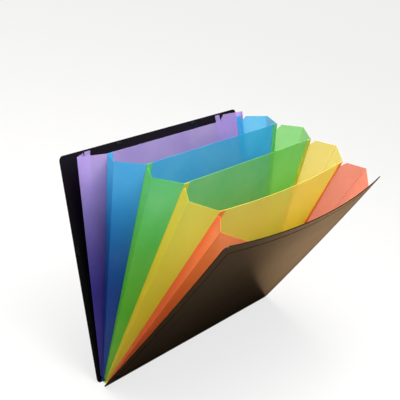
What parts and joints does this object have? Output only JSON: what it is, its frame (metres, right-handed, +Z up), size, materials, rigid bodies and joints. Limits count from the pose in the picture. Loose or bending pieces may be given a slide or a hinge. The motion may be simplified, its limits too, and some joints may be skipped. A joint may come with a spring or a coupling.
{
  "type": "accordion file folder",
  "caption": "Accordion file folder standing open: dark plastic covers and a fan of coloured film pockets with folding side gussets, hinged along the bottom edge.",
  "frame": {"origin": "on the surface that the folder stands on, midway along its width and midway between the front-most and rear-most points of its two covers", "axes": "+X along the bottom edge to the right as seen from the front, -Y to the front, +Z up"},
  "size_m": [0.33, 0.2367, 0.2517],
  "materials": {
    "cover_polypropylene": "near-black semi-matte sheet with a fine grain",
    "film_purple": "translucent frosted film",
    "film_blue": "translucent frosted film",
    "film_green": "translucent frosted film",
    "film_yellow": "translucent frosted film",
    "film_orange": "translucent frosted film",
    "elastic_cord": "black braided elastic",
    "cord_barb": "black moulded bar"
  },
  "bodies": {
    "back_cover": {"back_cover": "cover_polypropylene", "purple_bottom_hem": "film_purple", "blue_bottom_hem": "film_blue", "green_bottom_hem": "film_green", "yellow_bottom_hem": "film_yellow", "purple_weld_flanges": "film_purple", "left_elastic_cord": "elastic_cord", "right_elastic_cord": "elastic_cord", "cord_end_barbs": "cord_barb"},
    "purple_panel": {"purple_panel": "film_purple", "blue_weld_flanges": "film_blue"},
    "blue_panel": {"blue_panel": "film_blue", "green_weld_flanges": "film_green"},
    "green_panel": {"green_panel": "film_green", "yellow_weld_flanges": "film_yellow"},
    "yellow_panel": {"yellow_panel": "film_yellow", "orange_weld_flanges": "film_orange"},
    "front_cover": {"front_cover": "cover_polypropylene", "orange_panel": "film_orange"},
    "purple_left_gusset_rear": {"purple_left_gusset_rear": "film_purple"},
    "purple_left_gusset_front": {"purple_left_gusset_front": "film_purple"},
    "purple_right_gusset_rear": {"purple_right_gusset_rear": "film_purple"},
    "purple_right_gusset_front": {"purple_right_gusset_front": "film_purple"},
    "blue_left_gusset_rear": {"blue_left_gusset_rear": "film_blue"},
    "blue_left_gusset_front": {"blue_left_gusset_front": "film_blue"},
    "blue_right_gusset_rear": {"blue_right_gusset_rear": "film_blue"},
    "blue_right_gusset_front": {"blue_right_gusset_front": "film_blue"},
    "green_left_gusset_rear": {"green_left_gusset_rear": "film_green"},
    "green_left_gusset_front": {"green_left_gusset_front": "film_green"},
    "green_right_gusset_rear": {"green_right_gusset_rear": "film_green"},
    "green_right_gusset_front": {"green_right_gusset_front": "film_green"},
    "yellow_left_gusset_rear": {"yellow_left_gusset_rear": "film_yellow"},
    "yellow_left_gusset_front": {"yellow_left_gusset_front": "film_yellow"},
    "yellow_right_gusset_rear": {"yellow_right_gusset_rear": "film_yellow"},
    "yellow_right_gusset_front": {"yellow_right_gusset_front": "film_yellow"},
    "orange_left_gusset_rear": {"orange_left_gusset_rear": "film_orange"},
    "orange_left_gusset_front": {"orange_left_gusset_front": "film_orange"},
    "orange_right_gusset_rear": {"orange_right_gusset_rear": "film_orange"},
    "orange_right_gusset_front": {"orange_right_gusset_front": "film_orange"}
  },
  "joints": [
    {"name": "front_cover_fold", "type": "hinge", "parent": "back_cover", "child": "front_cover", "pos_m": [0, -0.01009, 0.004], "axis": [1, 0, 0], "range_deg": [-48.1, 0]},
    {"name": "purple_panel_fold", "type": "hinge", "parent": "back_cover", "child": "purple_panel", "pos_m": [0, -0.00129, 0.004], "axis": [1, 0, 0], "range_deg": [-7.33, 0]},
    {"name": "blue_panel_fold", "type": "hinge", "parent": "back_cover", "child": "blue_panel", "pos_m": [0, -0.00349, 0.004], "axis": [1, 0, 0], "range_deg": [-19.44, 0]},
    {"name": "green_panel_fold", "type": "hinge", "parent": "back_cover", "child": "green_panel", "pos_m": [0, -0.00569, 0.004], "axis": [1, 0, 0], "range_deg": [-30.59, 0]},
    {"name": "yellow_panel_fold", "type": "hinge", "parent": "back_cover", "child": "yellow_panel", "pos_m": [0, -0.00789, 0.004], "axis": [1, 0, 0], "range_deg": [-41.47, 0]},
    {"name": "purple_left_gusset_rear_fold", "type": "hinge", "parent": "back_cover", "child": "purple_left_gusset_rear", "pos_m": [-0.1435, 0.05828, 0.11393], "axis": [0.1319, 0.4608, 0.8777], "range_deg": [-28.92, 0]},
    {"name": "purple_left_gusset_front_fold", "type": "hinge", "parent": "purple_panel", "child": "purple_left_gusset_front", "pos_m": [-0.1435, 0.04191, 0.12023], "axis": [-0.1319, -0.3454, -0.9292], "range_deg": [-28.92, 0]},
    {"name": "purple_right_gusset_rear_fold", "type": "hinge", "parent": "back_cover", "child": "purple_right_gusset_rear", "pos_m": [0.1435, 0.05828, 0.11393], "axis": [0.1319, -0.4608, -0.8777], "range_deg": [-28.92, 0]},
    {"name": "purple_right_gusset_front_fold", "type": "hinge", "parent": "purple_panel", "child": "purple_right_gusset_front", "pos_m": [0.1435, 0.04191, 0.12023], "axis": [-0.1319, 0.3454, 0.9292], "range_deg": [-28.92, 0]},
    {"name": "blue_left_gusset_rear_fold", "type": "hinge", "parent": "purple_panel", "child": "blue_left_gusset_rear", "pos_m": [-0.1435, 0.04139, 0.12042], "axis": [0.1319, 0.3454, 0.9292], "range_deg": [-53.02, 0]},
    {"name": "blue_left_gusset_front_fold", "type": "hinge", "parent": "blue_panel", "child": "blue_left_gusset_front", "pos_m": [-0.1435, 0.01436, 0.12671], "axis": [-0.1319, -0.1427, -0.9809], "range_deg": [-53.02, 0]},
    {"name": "blue_right_gusset_rear_fold", "type": "hinge", "parent": "purple_panel", "child": "blue_right_gusset_rear", "pos_m": [0.1435, 0.04139, 0.12042], "axis": [0.1319, -0.3454, -0.9292], "range_deg": [-53.02, 0]},
    {"name": "blue_right_gusset_front_fold", "type": "hinge", "parent": "blue_panel", "child": "blue_right_gusset_front", "pos_m": [0.1435, 0.01436, 0.12671], "axis": [-0.1319, 0.1427, 0.9809], "range_deg": [-53.02, 0]},
    {"name": "green_left_gusset_rear_fold", "type": "hinge", "parent": "blue_panel", "child": "green_left_gusset_rear", "pos_m": [-0.1435, 0.01382, 0.12679], "axis": [0.1319, 0.1427, 0.9809], "range_deg": [-47.42, 0]},
    {"name": "green_left_gusset_front_fold", "type": "hinge", "parent": "green_panel", "child": "green_left_gusset_front", "pos_m": [-0.1435, -0.01191, 0.12784], "axis": [-0.1319, 0.0497, -0.99], "range_deg": [-47.42, 0]},
    {"name": "green_right_gusset_rear_fold", "type": "hinge", "parent": "blue_panel", "child": "green_right_gusset_rear", "pos_m": [0.1435, 0.01382, 0.12679], "axis": [0.1319, -0.1427, -0.9809], "range_deg": [-47.42, 0]},
    {"name": "green_right_gusset_front_fold", "type": "hinge", "parent": "green_panel", "child": "green_right_gusset_front", "pos_m": [0.1435, -0.01191, 0.12784], "axis": [-0.1319, -0.0497, 0.99], "range_deg": [-47.42, 0]},
    {"name": "yellow_left_gusset_rear_fold", "type": "hinge", "parent": "green_panel", "child": "yellow_left_gusset_rear", "pos_m": [-0.1435, -0.01246, 0.12782], "axis": [0.1319, -0.0497, 0.99], "range_deg": [-45.92, 0]},
    {"name": "yellow_left_gusset_front_fold", "type": "hinge", "parent": "yellow_panel", "child": "yellow_left_gusset_front", "pos_m": [-0.1435, -0.03737, 0.12445], "axis": [-0.1319, 0.2357, -0.9628], "range_deg": [-45.92, 0]},
    {"name": "yellow_right_gusset_rear_fold", "type": "hinge", "parent": "green_panel", "child": "yellow_right_gusset_rear", "pos_m": [0.1435, -0.01246, 0.12782], "axis": [0.1319, 0.0497, -0.99], "range_deg": [-45.92, 0]},
    {"name": "yellow_right_gusset_front_fold", "type": "hinge", "parent": "yellow_panel", "child": "yellow_right_gusset_front", "pos_m": [0.1435, -0.03737, 0.12445], "axis": [-0.1319, -0.2357, 0.9628], "range_deg": [-45.92, 0]},
    {"name": "orange_left_gusset_rear_fold", "type": "hinge", "parent": "yellow_panel", "child": "orange_left_gusset_rear", "pos_m": [-0.1435, -0.03791, 0.12431], "axis": [0.1319, -0.2357, 0.9628], "range_deg": [-28.17, 0]},
    {"name": "orange_left_gusset_front_fold", "type": "hinge", "parent": "front_cover", "child": "orange_left_gusset_front", "pos_m": [-0.1435, -0.0591, 0.11793], "axis": [-0.1319, 0.3932, -0.9099], "range_deg": [-28.17, 0]},
    {"name": "orange_right_gusset_rear_fold", "type": "hinge", "parent": "yellow_panel", "child": "orange_right_gusset_rear", "pos_m": [0.1435, -0.03791, 0.12431], "axis": [0.1319, 0.2357, -0.9628], "range_deg": [-28.17, 0]},
    {"name": "orange_right_gusset_front_fold", "type": "hinge", "parent": "front_cover", "child": "orange_right_gusset_front", "pos_m": [0.1435, -0.0591, 0.11793], "axis": [-0.1319, -0.3932, 0.9099], "range_deg": [-28.17, 0]}
  ],
  "couplings": [
    {"joint": "purple_panel_fold", "follows": "front_cover_fold", "ratio": 0.15198},
    {"joint": "blue_panel_fold", "follows": "front_cover_fold", "ratio": 0.40373},
    {"joint": "green_panel_fold", "follows": "front_cover_fold", "ratio": 0.63559},
    {"joint": "yellow_panel_fold", "follows": "front_cover_fold", "ratio": 0.86175},
    {"joint": "purple_left_gusset_rear_fold", "follows": "front_cover_fold", "ratio": 0.60078},
    {"joint": "purple_left_gusset_front_fold", "follows": "front_cover_fold", "ratio": 0.60078},
    {"joint": "purple_right_gusset_rear_fold", "follows": "front_cover_fold", "ratio": 0.60078},
    {"joint": "purple_right_gusset_front_fold", "follows": "front_cover_fold", "ratio": 0.60078},
    {"joint": "blue_left_gusset_rear_fold", "follows": "front_cover_fold", "ratio": 1.1018},
    {"joint": "blue_left_gusset_front_fold", "follows": "front_cover_fold", "ratio": 1.1018},
    {"joint": "blue_right_gusset_rear_fold", "follows": "front_cover_fold", "ratio": 1.1018},
    {"joint": "blue_right_gusset_front_fold", "follows": "front_cover_fold", "ratio": 1.1018},
    {"joint": "green_left_gusset_rear_fold", "follows": "front_cover_fold", "ratio": 0.98537},
    {"joint": "green_left_gusset_front_fold", "follows": "front_cover_fold", "ratio": 0.98537},
    {"joint": "green_right_gusset_rear_fold", "follows": "front_cover_fold", "ratio": 0.98537},
    {"joint": "green_right_gusset_front_fold", "follows": "front_cover_fold", "ratio": 0.98537},
    {"joint": "yellow_left_gusset_rear_fold", "follows": "front_cover_fold", "ratio": 0.95418},
    {"joint": "yellow_left_gusset_front_fold", "follows": "front_cover_fold", "ratio": 0.95418},
    {"joint": "yellow_right_gusset_rear_fold", "follows": "front_cover_fold", "ratio": 0.95418},
    {"joint": "yellow_right_gusset_front_fold", "follows": "front_cover_fold", "ratio": 0.95418},
    {"joint": "orange_left_gusset_rear_fold", "follows": "front_cover_fold", "ratio": 0.58526},
    {"joint": "orange_left_gusset_front_fold", "follows": "front_cover_fold", "ratio": 0.58526},
    {"joint": "orange_right_gusset_rear_fold", "follows": "front_cover_fold", "ratio": 0.58526},
    {"joint": "orange_right_gusset_front_fold", "follows": "front_cover_fold", "ratio": 0.58526}
  ]
}
